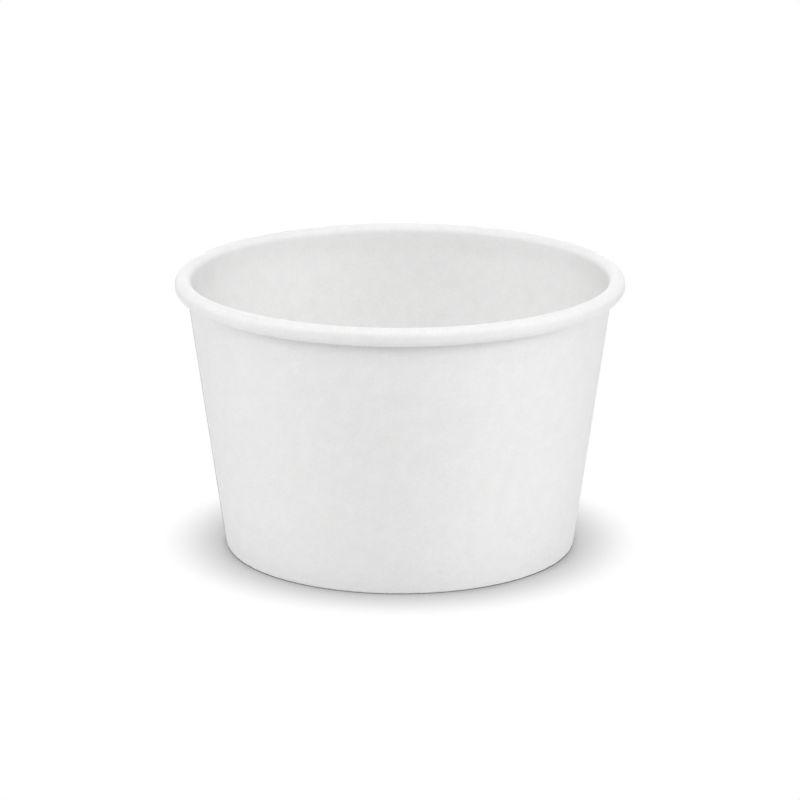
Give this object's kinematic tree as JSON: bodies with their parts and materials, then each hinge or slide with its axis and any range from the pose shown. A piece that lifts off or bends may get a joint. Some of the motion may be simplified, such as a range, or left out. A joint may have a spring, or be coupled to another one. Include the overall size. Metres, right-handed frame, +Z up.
{
  "type": "paper soup container",
  "caption": "Round tapered paper soup container with a rolled rim, a lapped side seam and a recessed base disc held in a folded hem, for hot takeaway food.",
  "frame": {"origin": "on the table under the middle of the container", "axes": "+Z up along the container's axis; the edge of the board inside the lapped seam is at 171 degrees from +X towards +Y"},
  "size_m": [0.098, 0.098, 0.0607],
  "materials": {
    "sidewall_board": "white coated board, satin",
    "base_board": "white coated board, satin"
  },
  "bodies": {
    "root": {"sidewall": "sidewall_board", "base_disc": "base_board"}
  },
  "joints": []
}
